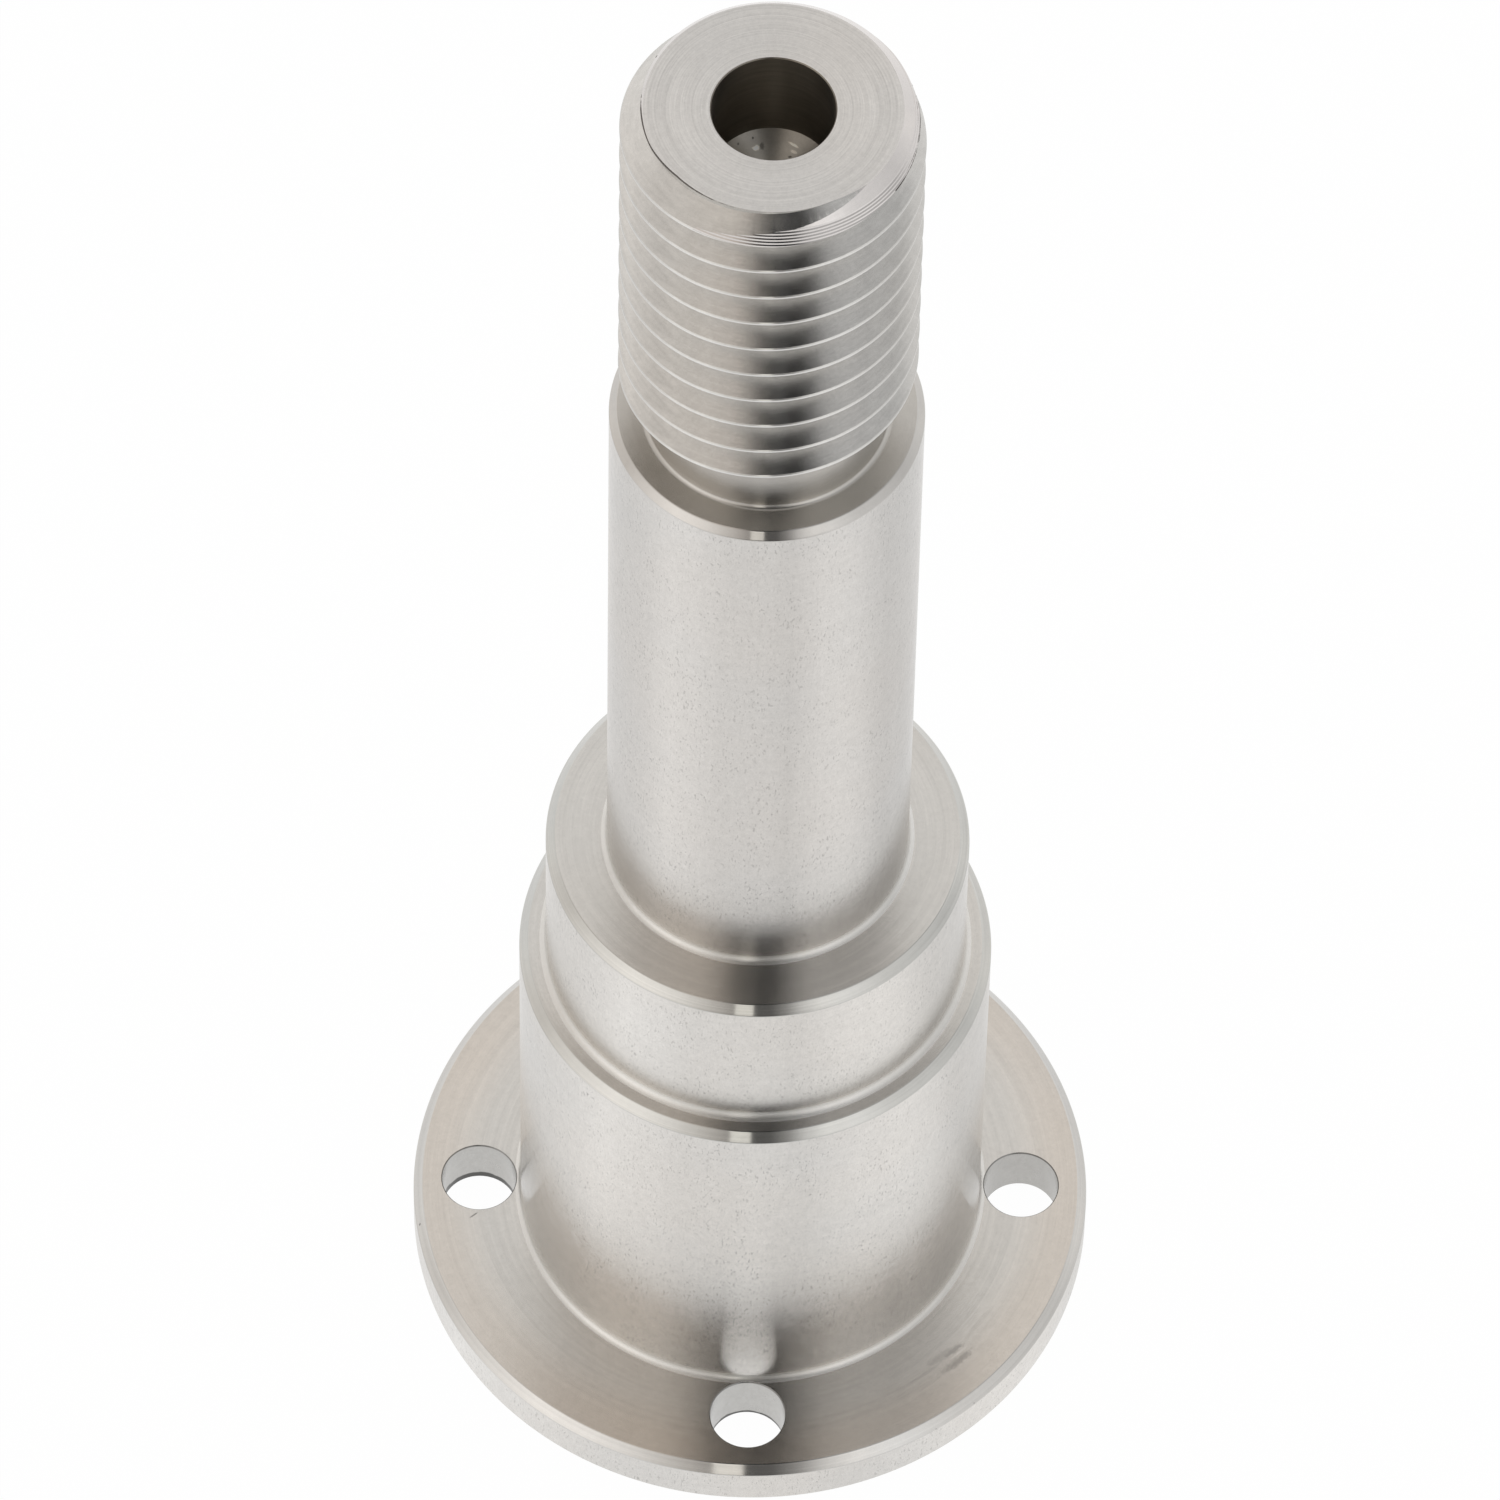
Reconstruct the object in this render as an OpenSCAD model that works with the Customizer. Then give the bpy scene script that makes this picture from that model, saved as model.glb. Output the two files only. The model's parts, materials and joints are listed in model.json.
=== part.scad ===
// Stepped pivot shaft with a mounting flange, turned from one bar, in millimetres.
// It stands on the underside of its flange. The axis is Z and the threaded end points up.

/* [Flange] */
// Diameter of the flange
flange_d = 39; // [37:0.5:46]
// Thickness of the flange
flange_t = 3.4; // [2:0.1:6]
// Chamfer on both rims of the flange
flange_chamfer = 0.5; // [0.2:0.1:0.8]
// Number of screw holes in the flange
hole_count = 4; // [3:1:8]
// Diameter of each screw hole
hole_d = 4.3; // [3:0.1:4.6]
// Flat left between the lower boss and the edge of each screw hole
hole_land = 0.25; // [0.1:0.05:0.6]

/* [Bosses] */
// Diameter of the lower boss
lower_boss_d = 26.6; // [25:0.2:27]
// Height of the lower boss above the flange
lower_boss_h = 26.1; // [15:0.5:40]
// Diameter of the middle boss
middle_boss_d = 23.6; // [20:0.2:24]
// Height of the middle boss above the lower one
middle_boss_h = 10.9; // [5:0.5:20]
// Chamfer on the top edge of each boss
boss_chamfer = 0.5; // [0.2:0.1:0.5]
// Fillet where each step meets the face below it
step_fillet = 0.3; // [0.1:0.05:0.4]

/* [Journal] */
// Diameter of the bearing journal
journal_d = 16.8; // [16.2:0.1:18.4]
// Length of the bearing journal
journal_h = 41.5; // [25:0.5:60]
// Chamfer on the top edge of the journal
journal_chamfer = 0.4; // [0.1:0.1:0.6]

/* [Threaded end] */
// Length of the threaded end, with its relief groove
end_h = 26.8; // [20:0.2:36]
// Outer diameter of the thread
thread_d = 15.86; // [15:0.02:16]
// Distance from one turn of the thread to the next
thread_pitch = 2.309; // [1.8:0.001:2.6]
// Depth of the thread
thread_depth = 1.4; // [0.8:0.05:1.45]
// Width of the flat along the crest of the thread
crest_flat = 0.2; // [0.1:0.05:0.3]
// Depth of the first full crest below the end face, on the +X side
first_crest = 2.82; // [2:0.01:4]
// Chamfer on the tip of the thread
tip_chamfer = 1.2; // [0.8:0.05:1.6]
// Diameter of the relief groove below the thread
relief_d = 12.9; // [11.6:0.1:12.9]
// Width of the relief groove
relief_w = 4; // [3:0.1:6]

/* [Blind hole] */
// Diameter of the blind hole in the end face
bore_d = 6.45; // [4:0.05:8]
// Depth of the straight part of the blind hole
bore_depth = 6.1; // [4:0.1:14]
// Angle of the drilled point at the bottom of the blind hole
drill_angle = 118; // [90:1:140]
// Break on the mouth of the blind hole
bore_break = 0.1; // [0.05:0.05:0.3]

/* [Hidden] */
$fn = 96;

steel = [0.78, 0.77, 0.75];

lower_top = flange_t + lower_boss_h;
middle_top = lower_top + middle_boss_h;
journal_top = middle_top + journal_h;
relief_top = journal_top + relief_w;
shaft_top = journal_top + end_h;
hole_circle_r = lower_boss_d / 2 + hole_land + hole_d / 2;

// Thread form, 60 degrees between its flanks
flank_w = thread_depth * tan(30);
root_flat = thread_pitch - crest_flat - 2 * flank_w;
crest_r = thread_d / 2;
root_r = crest_r - thread_depth;
tip_r = crest_r - tip_chamfer;
form = [
  [crest_r, crest_flat / 2],
  [crest_r, -crest_flat / 2],
  [root_r, -crest_flat / 2 - flank_w],
  [root_r, -crest_flat / 2 - flank_w - root_flat]
];
thread_sides = 72;
thread_turns = ceil((end_h - relief_w) / thread_pitch);
// Points of the form nearer than this to the one above them are left out
point_gap = 0.004;

// Length that one part runs into the next, so that they join
overlap = 1;

// Points of the thread form at an angle, as radius and height, from the top down
function form_at(angle) = [
  for (turn = [-2 : thread_turns + 1])
    for (p = form)
      [p[0], shaft_top - first_crest + thread_pitch * (angle / 360 - turn) + p[1]]
];

// Radius of a form at a height
function radius_at(points, z) = lookup(z, [for (p = points) [p[1], p[0]]]);

// How far a point stands out past the tip chamfer
function past_tip(p) = p[0] - tip_r - (shaft_top - p[1]);

// The form between the groove and the end face
function trimmed(points) = concat(
  [[radius_at(points, shaft_top), shaft_top]],
  [for (p = points) if (p[1] < shaft_top - point_gap && p[1] > relief_top + point_gap) p],
  [[radius_at(points, relief_top), relief_top]]
);

// Point where the chamfer cuts the line between two points
function chamfer_cut(p, q) = p + (q - p) * past_tip(p) / (past_tip(p) - past_tip(q));

// The form with its tip chamfered
function chamfered(points) = concat(
  [[min(points[0][0], tip_r), shaft_top]],
  [
    for (i = [1 : len(points) - 1])
      let (p = points[i - 1], q = points[i])
      each concat(
        past_tip(p) * past_tip(q) < 0 ? [chamfer_cut(p, q)] : [],
        past_tip(q) <= 0 ? [q] : []
      )
  ]
);

// Drops each point that lies on the one above it
function spaced(points) = [
  for (i = [0 : len(points) - 1])
    if (i == 0 || norm(points[i] - points[i - 1]) > point_gap) points[i]
];

// Triangles between two columns of points, joined from the top down
function strip(a, b, first_a, first_b, i = 0, j = 0) =
  i == len(a) - 1 && j == len(b) - 1 ? [] :
  i < len(a) - 1 && (j == len(b) - 1 || a[i + 1][1] >= b[j + 1][1])
    ? concat([[first_a + i, first_b + j, first_a + i + 1]], strip(a, b, first_a, first_b, i + 1, j))
    : concat([[first_a + i, first_b + j, first_b + j + 1]], strip(a, b, first_a, first_b, i, j + 1));

// Right-hand thread, from the relief groove to the end face
module thread() {
  step = 360 / thread_sides;
  columns = [for (n = [0 : thread_sides - 1]) spaced(chamfered(trimmed(form_at(n * step))))];
  firsts = [for (n = 0, sum = 0; n <= thread_sides; sum = sum + len(columns[n % thread_sides]), n = n + 1) sum];
  points = [
    for (n = [0 : thread_sides - 1])
      for (p = columns[n])
        [p[0] * cos(n * step), p[0] * sin(n * step), p[1]]
  ];
  sides = [
    for (n = [0 : thread_sides - 1])
      let (m = (n + 1) % thread_sides)
      each strip(columns[n], columns[m], firsts[n], firsts[m])
  ];
  top = [for (n = [thread_sides - 1 : -1 : 0]) firsts[n]];
  bottom = [for (n = [0 : thread_sides - 1]) firsts[n + 1] - 1];
  polyhedron(points, concat(sides, [top, bottom]));
}

// Half section of one turned step, chamfered at its top edge
module step_section(d, bottom, top, chamfer) {
  polygon([
    [0, bottom],
    [d / 2, bottom],
    [d / 2, top - chamfer],
    [d / 2 - chamfer, top],
    [0, top]
  ]);
}

// Half section of the fillet at the foot of a step
module foot_section(d, face) {
  difference() {
    translate([d / 2 - step_fillet, face - step_fillet]) square(2 * step_fillet);
    translate([d / 2 + step_fillet, face + step_fillet]) circle(step_fillet);
  }
}

// Half section of the flange, chamfered on both rims
module flange_section() {
  polygon([
    [0, 0],
    [flange_d / 2 - flange_chamfer, 0],
    [flange_d / 2, flange_chamfer],
    [flange_d / 2, flange_t - flange_chamfer],
    [flange_d / 2 - flange_chamfer, flange_t],
    [0, flange_t]
  ]);
}

// Everything that is turned below the thread
module turned_body() {
  rotate_extrude() {
    flange_section();
    step_section(lower_boss_d, flange_t - overlap, lower_top, boss_chamfer);
    foot_section(lower_boss_d, flange_t);
    step_section(middle_boss_d, lower_top - overlap, middle_top, boss_chamfer);
    foot_section(middle_boss_d, lower_top);
    step_section(journal_d, middle_top - overlap, journal_top, journal_chamfer);
    foot_section(journal_d, middle_top);
    step_section(relief_d, journal_top - overlap, relief_top + overlap, 0);
    foot_section(relief_d, journal_top);
  }
}

module screw_holes() {
  for (n = [0 : hole_count - 1])
    rotate(n * 360 / hole_count)
      translate([hole_circle_r, 0, -overlap])
        cylinder(d = hole_d, h = flange_t + 2 * overlap);
}

// Blind hole in the end face, with the cone that the drill leaves
module blind_hole() {
  point_h = bore_d / 2 / tan(drill_angle / 2);
  translate([0, 0, shaft_top - bore_depth]) cylinder(d = bore_d, h = bore_depth + overlap);
  translate([0, 0, shaft_top - bore_depth - point_h]) cylinder(r1 = 0, r2 = bore_d / 2, h = point_h);
  translate([0, 0, shaft_top - bore_break])
    cylinder(r1 = bore_d / 2, r2 = bore_d / 2 + 2 * bore_break, h = 2 * bore_break);
}

module pivot_shaft() {
  color(steel)
    difference() {
      union() {
        turned_body();
        thread();
      }
      screw_holes();
      blind_hole();
    }
}

pivot_shaft();
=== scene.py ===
"""Pivot shaft turned from one bar of stainless steel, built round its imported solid.

Sizes are in millimetres while the pieces are made, and the finished mesh is in metres. The axis is Z, the
threaded end points up, and the photograph is taken from the front, the -Y side.
"""

from __future__ import annotations

import json
import logging
import math
from dataclasses import dataclass, field, replace
from enum import Enum
from typing import Any, Iterable, Sequence

import bpy
from mathutils import Matrix, Vector

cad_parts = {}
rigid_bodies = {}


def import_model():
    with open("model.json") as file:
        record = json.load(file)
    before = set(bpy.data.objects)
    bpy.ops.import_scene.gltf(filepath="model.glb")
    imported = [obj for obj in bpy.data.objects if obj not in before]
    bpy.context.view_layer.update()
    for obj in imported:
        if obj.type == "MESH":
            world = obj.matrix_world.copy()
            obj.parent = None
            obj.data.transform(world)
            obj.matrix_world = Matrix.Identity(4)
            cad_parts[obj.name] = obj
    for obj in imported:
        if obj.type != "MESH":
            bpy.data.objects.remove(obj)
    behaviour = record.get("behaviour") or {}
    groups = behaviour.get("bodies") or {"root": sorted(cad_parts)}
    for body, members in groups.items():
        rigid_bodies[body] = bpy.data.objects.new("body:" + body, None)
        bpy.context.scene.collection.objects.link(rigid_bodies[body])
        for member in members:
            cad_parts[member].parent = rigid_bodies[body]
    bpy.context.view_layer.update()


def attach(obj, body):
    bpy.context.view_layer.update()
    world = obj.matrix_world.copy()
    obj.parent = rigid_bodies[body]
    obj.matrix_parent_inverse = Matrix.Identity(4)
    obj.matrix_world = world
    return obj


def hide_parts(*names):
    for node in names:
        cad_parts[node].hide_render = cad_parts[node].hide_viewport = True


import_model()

LOG = logging.getLogger("pivot_shaft")
MM = 0.001
NODE = "pivot_shaft"
SIDES = 360
SMOOTH_ANGLE = math.radians(12)
WHITE = (1.0, 1.0, 1.0, 1.0)
STEEL = (0.66, 0.645, 0.62)
# Length that one solid runs into or past the next, in millimetres
OVERLAP = 1.0
# Corners of the thread form in one turn
FORM_CORNERS = 6.0
# Noise keeps near its middle, so its shade is made this much stronger
NOISE_SPREAD = 4
# How far the rings drift on their way round, and the painted reflection bands on their way up
RING_DRIFT, REFLECTION_BAND_RISE = 0.5, 0.02
# How fine the torn edge of a mark is, how far it is torn, and where it starts and ends across the mark
MARK_GRAIN, MARK_TEAR, MARK_EDGE = 6.0, 5, (0.45, 1.05)
# How near a face lies to the edge or wall that it is counted to, in millimetres
NEAR = 1e-3
# The share of Z in a normal: the least of a flat face, of a nearly flat one and of one that is no wall, and
# the least of a chamfer and of a fillet
FLAT, NEARLY_FLAT, NO_WALL, CHAMFERED, ROUNDED = 0.999, 0.97, 0.9, 0.25, 0.02

Point = tuple[float, float]
Place = tuple[float, float, float]
Colour = tuple[float, float, float]
Stop = tuple[float, float, float]
Step = tuple[float, float, float, float]
Socket = bpy.types.NodeSocket


class Zone(Enum):
    """The finishes that the steel has, by where the tool left them."""

    WALL = 0
    RING = 1
    FLANGE_CHAMFER = 2
    END_FACE = 3
    THREAD = 4
    BORE = 5
    DRILL_POINT = 6
    SCREW_HOLE = 7
    NECK = 8
    UNDERSIDE = 9
    FILLET = 10
    BOSS_CHAMFER = 11
    JOURNAL_CHAMFER = 12
    TIP_CHAMFER = 13
    CREST = 14
    FLANGE_FACE = 15
    JOURNAL = 16


class Nodes:
    """Adds nodes to a tree and links them."""

    def __init__(self, tree: bpy.types.NodeTree) -> None:
        """Keeps the tree and empties it.

        Args:
            tree: the shader or geometry tree to fill.
        """
        self.tree = tree
        tree.nodes.clear()

    def add(self, kind: str, inputs: dict[Any, Any] | None = None, **settings: Any) -> bpy.types.Node:
        """Adds one node.

        Args:
            kind: Blender's name of the node's type.
            inputs: values or sockets for its inputs, by name or number.
            settings: its other properties.

        Returns:
            The new node.
        """
        node = self.tree.nodes.new(kind)
        for name, value in settings.items():
            setattr(node, name, value)
        for name, value in (inputs or {}).items():
            self.feed(node.inputs[name], value)
        return node

    def feed(self, socket: Socket, value: Any) -> None:
        """Links a socket to another one, or gives it a value.

        Args:
            socket: the input.
            value: an output socket or a plain value.
        """
        if isinstance(value, Socket):
            self.tree.links.new(value, socket)
        else:
            socket.default_value = value

    def math(self, operation: str, *values: Any) -> Socket:
        """Adds a Math node with its inputs in order, and gives its output."""
        return self.add("ShaderNodeMath", dict(enumerate(values)), operation=operation).outputs[0]

    def times(self, first: Any, second: Any) -> Socket:
        """Multiplies two values."""
        return self.math("MULTIPLY", first, second)

    def plus(self, first: Any, second: Any) -> Socket:
        """Adds two values."""
        return self.math("ADD", first, second)

    def minus(self, first: Any, second: Any) -> Socket:
        """Takes the second value from the first."""
        return self.math("SUBTRACT", first, second)

    def over(self, first: Any, second: Any) -> Socket:
        """Divides the first value by the second."""
        return self.math("DIVIDE", first, second)

    def point(self, x: Any, y: Any, z: Any) -> Socket:
        """Joins three values into a vector."""
        return self.add("ShaderNodeCombineXYZ", {0: x, 1: y, 2: z}).outputs[0]

    def split(self, vector: Socket) -> Sequence[Socket]:
        """Takes a vector apart into its X, Y and Z."""
        return self.add("ShaderNodeSeparateXYZ", {0: vector}).outputs

    def polar(self, out: Socket, angle: Socket, height: Socket) -> Socket:
        """Gives the point at a radius, an angle in radians and a height."""
        across = self.times(out, self.math("COSINE", angle))
        return self.point(across, self.times(out, self.math("SINE", angle)), height)

    def vector(self, operation: str, *values: Any) -> Socket:
        """Adds a Vector Math node, and gives its vector, or its value for a length or dot product."""
        node = self.add("ShaderNodeVectorMath", dict(enumerate(values)), operation=operation)
        return node.outputs["Value" if operation in ("LENGTH", "DOT_PRODUCT") else "Vector"]

    def ramp(self, value: Any, low: Any, high: Any, start: float = 0.0, end: float = 1.0) -> Socket:
        """Turns a range of a value into a smooth step.

        Args:
            value: what is read.
            low: the value at which the step begins.
            high: the value at which it ends.
            start: the result before the step.
            end: the result after it.

        Returns:
            The output with the step.
        """
        given = {"Value": value, "From Min": low, "From Max": high, "To Min": start, "To Max": end}
        node = self.add("ShaderNodeMapRange", given, interpolation_type="SMOOTHSTEP")
        return node.outputs["Result"]

    def blend(self, share: Any, first: Any, second: Any) -> Socket:
        """Mixes two colours, with the second one's share given. The numbers are the colour sockets."""
        node = self.add("ShaderNodeMix", {0: share, 6: first, 7: second}, data_type="RGBA")
        return node.outputs[2]

    def scaled(self, value: Any, factor: Any) -> Socket:
        """Scales a vector or colour by a factor."""
        node = self.add("ShaderNodeVectorMath", {0: value, "Scale": factor}, operation="SCALE")
        return node.outputs["Vector"]

    def centred(self, pattern: Socket) -> Socket:
        """Shifts a pattern from 0 to 1 so that its middle is at 0."""
        return self.minus(pattern, 0.5)

    def inputs(self, kinds: dict[str, str]) -> Any:
        """Gives a Geometry Nodes tree its inputs and its one output.

        Args:
            kinds: the kind of each input, by its name.

        Returns:
            The inputs' sockets inside the tree.
        """
        face = self.tree.interface
        for name, kind in kinds.items():
            face.new_socket(name, in_out="INPUT", socket_type=f"NodeSocket{kind}")
        face.new_socket("Geometry", in_out="OUTPUT", socket_type="NodeSocketGeometry")
        return self.add("NodeGroupInput").outputs

    def dressed(self, shape: Socket, finish: Socket) -> None:
        """Ends a Geometry Nodes tree: makes its shape real and gives it its finish."""
        whole = self.add("GeometryNodeRealizeInstances", {"Geometry": shape})
        painted = self.add("GeometryNodeSetMaterial", {"Geometry": whole.outputs[0], "Material": finish})
        self.add("NodeGroupOutput", {"Geometry": painted.outputs[0]})

    def noise(self, where: Any, scale: float, detail: float = 2.0, roughness: float = 0.5) -> Socket:
        """Gives a noise, from 0 to 1 and mostly near 0.5, with finer layers by its detail and roughness."""
        given = {"Vector": where, "Scale": scale, "Detail": detail, "Roughness": roughness}
        return self.add("ShaderNodeTexNoise", given).outputs["Fac"]


class Surface(Nodes):
    """The nodes of a finish, with what is known of the point on the shaft, in millimetres."""

    def __init__(self, tree: bpy.types.NodeTree, helix_pitch: float) -> None:
        """Finds the point's place, its distance and bearing from the axis, and the level of the tool there.

        Args:
            tree: the finish's tree.
            helix_pitch: the pitch of the thread that the tool marks follow, or 0 for plain rings.
        """
        super().__init__(tree)
        self.place = self.scaled(self.add("ShaderNodeTexCoord").outputs["Object"], 1 / MM)
        flat = self.vector("MULTIPLY", self.place, (1.0, 1.0, 0.0))
        self.out = self.vector("LENGTH", flat)
        self.bearing = self.vector("NORMALIZE", flat)
        x, y, self.level = self.split(self.place)
        if helix_pitch:
            turn = self.times(self.math("ARCTAN2", y, x), helix_pitch / math.tau)
            self.level = self.math("PINGPONG", self.minus(self.level, turn), helix_pitch / 2)


@dataclass(frozen=True)
class Mark:
    """A small smear, nick or scratch on the surface."""

    start: Place
    end: Place
    width: float
    tone: float
    ragged: float = 0.3

    def shade(self, n: Surface) -> Socket:
        """Makes the factor that darkens or lightens the steel there.

        Args:
            n: the finish's nodes.

        Returns:
            The factor, 1 away from the mark.
        """
        first, last = Vector(self.start), Vector(self.end)
        way = (last - first).normalized()
        away = n.vector("SUBTRACT", n.place, tuple((first + last) / 2))
        run = n.vector("DOT_PRODUCT", away, tuple(way))
        across = n.vector("LENGTH", n.vector("SUBTRACT", away, n.scaled(tuple(way), run)))
        run = n.over(run, (last - first).length / 2)
        across = n.over(across, self.width / 2)
        reach = n.math("SQRT", n.plus(n.times(run, run), n.times(across, across)))
        grain = n.centred(n.noise(n.place, MARK_GRAIN, 3.0))
        torn = n.math("MULTIPLY_ADD", grain, MARK_TEAR * self.ragged, reach)
        return n.ramp(torn, *MARK_EDGE, self.tone, 1.0)


@dataclass(frozen=True)
class TurnedFinish:
    """Steel as a lathe tool leaves it: fine marks run round the axis, so light spreads across them.

    A shade is a share of the colour. A scale says how fine a pattern is, for each millimetre or each turn.
    The rim, the painted shadow lines and the reach of a line are places and lengths in millimetres.
    """

    name: str
    colour: Colour = STEEL
    roughness: float = 0.26
    rough_scale: float = 1.1
    rough_change: float = 0.08
    anisotropy: float = 0.9
    rings_per_mm: float = 2.5
    ring_shade: float = 0.03
    ring_height: float = 0.0003
    helix_pitch: float = 0.0
    streak_shade: float = 0.0
    streak_scale: float = 5.0
    streak_rise: float = 7.0
    mottle_shade: float = 0.04
    mottle_scale: Place = (2.2, 2.2, 1.3)
    dash_shade: float = 0.0
    dash_scale: Place = (9.0, 9.0, 3.2)
    dash_patches: float = 0.5
    reflection_band_shade: float = 0.0
    reflection_band_scale: float = 4.5
    warm_shade: float = 0.006
    warm_scale: float = 0.09
    rim_tint: Colour | None = None
    rim: Point = (15.2, 18.2)
    # Painted shadow: a dark line along the foot of a screw hole's wall
    foot_shadow_line: float = 0.0
    foot_shade: float = 0.2
    foot_tilt: float = 0.015
    # Painted shadow: a dark band just below the mouth of a screw hole's wall
    mouth_shadow_line: float = 0.0
    mouth_shade: float = 0.45
    mouth_reach: Point = (0.16, 0.03)
    marks: tuple[Mark, ...] = ()

    def material(self) -> bpy.types.Material:
        """Makes the finish.

        Returns:
            The material.
        """
        made = bpy.data.materials.new(self.name)
        made.use_nodes = True
        n = Surface(made.node_tree, self.helix_pitch)
        rings = self.rings(n)
        colour = self.tinted(n, self.tone(n, rings))
        shader = n.add("ShaderNodeBsdfPrincipled", {"Metallic": 1.0, "Base Color": colour})
        shader.inputs["Anisotropic"].default_value = self.anisotropy
        shader.inputs["Anisotropic Rotation"].default_value = 0.25
        patches = n.centred(n.noise(n.place, self.rough_scale, 3.0))
        rough = n.math("MULTIPLY_ADD", patches, self.rough_change, self.roughness)
        n.feed(shader.inputs["Roughness"], rough)
        bump = n.add("ShaderNodeBump", {"Strength": 1.0, "Distance": self.ring_height * MM, "Height": rings})
        n.feed(shader.inputs["Normal"], bump.outputs["Normal"])
        if self.anisotropy:
            around = n.vector("CROSS_PRODUCT", (0, 0, 1), n.place)
            n.feed(shader.inputs["Tangent"], n.vector("NORMALIZE", around))
        n.add("ShaderNodeOutputMaterial", {"Surface": shader.outputs[0]})
        return made

    def rings(self, n: Surface) -> Socket:
        """Makes the pattern of fine rings that the tool leaves.

        Args:
            n: the finish's nodes.

        Returns:
            The height of the rings, from 0 to 1.
        """
        spread = n.scaled(n.point(n.out, n.level, 0.0), self.rings_per_mm)
        where = n.vector("ADD", spread, n.scaled(n.bearing, RING_DRIFT))
        return n.noise(where, 1.0, 4.0, 0.8)

    def tone(self, n: Surface, rings: Socket) -> Socket:
        """Makes the factor that the colour is scaled by.

        Args:
            n: the finish's nodes.
            rings: the ring pattern.

        Returns:
            The factor, mostly near 1.
        """
        place, parts = n.place, [(rings, self.ring_shade)]
        if self.mottle_shade:
            grain = n.noise(n.vector("MULTIPLY", place, self.mottle_scale), 1.0, 4.0, 1.0)
            parts.append((grain, self.mottle_shade))
        # Painted reflection: soft vertical bands round the axis that stand in for the studio's reflected
        # light
        if self.reflection_band_shade:
            height = n.vector("MULTIPLY", place, (0.0, 0.0, REFLECTION_BAND_RISE))
            around = n.vector("ADD", n.scaled(n.bearing, self.reflection_band_scale), height)
            parts.append((n.noise(around, 1.0, 2.0), self.reflection_band_shade))
        if self.streak_shade:
            height = n.point(0.0, 0.0, n.times(n.level, self.streak_rise))
            along = n.vector("ADD", n.scaled(n.bearing, self.streak_scale), height)
            parts.append((n.noise(along, 1.0, 3.0, 0.65), self.streak_shade))
        tone: Any = 1.0
        for pattern, shade in parts:
            tone = n.math("MULTIPLY_ADD", n.centred(pattern), NOISE_SPREAD * shade, tone)
        if self.dash_shade:
            spots = n.noise(n.vector("MULTIPLY", place, self.dash_scale), 1.0, 1.0)
            where = n.ramp(n.noise(place, self.dash_patches, 2.0), 0.35, 0.65, 0.25, 1.0)
            found = n.times(n.ramp(spots, 0.60, 0.70), where)
            tone = n.times(tone, n.math("MULTIPLY_ADD", found, -self.dash_shade, 1.0))
        # Painted shadow: the wall darkens in a ragged line near its foot, lower on one side, like a contact
        # shadow
        if self.foot_shadow_line:
            tilted = n.vector("DOT_PRODUCT", place, (self.foot_tilt, 0.0, 1.0))
            edge = n.math("MULTIPLY_ADD", n.centred(n.noise(place, 1.3, 2.0)), 0.3, tilted)
            shadow = n.ramp(edge, self.foot_shadow_line * 0.7, self.foot_shadow_line * 1.2, self.foot_shade, 1.0)
            tone = n.times(tone, shadow)
        # Painted shadow: the wall is darker in a band just below its top edge
        if self.mouth_shadow_line:
            far, near = self.mouth_reach
            shadow = n.ramp(n.level, self.mouth_shadow_line - far, self.mouth_shadow_line - near, 1.0, self.mouth_shade)
            tone = n.times(tone, shadow)
        for mark in self.marks:
            tone = n.times(tone, mark.shade(n))
        return tone

    def tinted(self, n: Surface, tone: Socket) -> Socket:
        """Makes the colour, with its slightly warmer patches and its warmer rim.

        Args:
            n: the finish's nodes.
            tone: the factor that it is scaled by.

        Returns:
            The colour.
        """
        warm = n.ramp(n.noise(n.place, self.warm_scale, 1.0), 0.3, 0.7)
        red, green, blue = self.colour
        pinker = (red * (1 + self.warm_shade), green, blue * (1 - self.warm_shade), 1.0)
        cooler = (red * (1 - self.warm_shade), green, blue * (1 + self.warm_shade), 1.0)
        colour = n.scaled(n.blend(warm, cooler, pinker), tone)
        if self.rim_tint:
            near_rim = n.ramp(n.out, *self.rim)
            tint = n.blend(near_rim, WHITE, (*self.rim_tint, 1.0))
            colour = n.vector("MULTIPLY", colour, tint)
        return colour


def fillet(wall: float, face: float, radius: float, steps: int = 8) -> list[Point]:
    """Points of the fillet at the foot of a step, from its face up to its wall.

    Args:
        wall: radius of the wall.
        face: height of the face below it.
        radius: the fillet's radius.
        steps: how many facets it has.

    Returns:
        Radius and height of each point.
    """
    turns = [math.pi / 2 * i / steps for i in range(steps + 1)]
    return [(wall + radius * (1 - math.sin(t)), face + radius * (1 - math.cos(t))) for t in turns]


def scalloped(start: Point, end: Point, feed: float, depth: float, steps: int = 3) -> list[Point]:
    """Points of a chamfer with the grooves that a coarse feed leaves in it.

    Args:
        start: its lower edge.
        end: its upper edge.
        feed: about the distance from one groove to the next.
        depth: how deep each groove is.
        steps: how many facets each has.

    Returns:
        Radius and height of each point, without the two ends.
    """
    run, rise = end[0] - start[0], end[1] - start[1]
    long = math.hypot(run, rise)
    count = max(1, round(long / feed))
    inward = (-rise / long, run / long)
    points = []
    for i in range(1, count * steps):
        t = i / (count * steps)
        phase = (i % steps) / steps
        sag = depth * 4 * phase * (1 - phase)
        points.append((start[0] + run * t + inward[0] * sag, start[1] + rise * t + inward[1] * sag))
    return points


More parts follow.
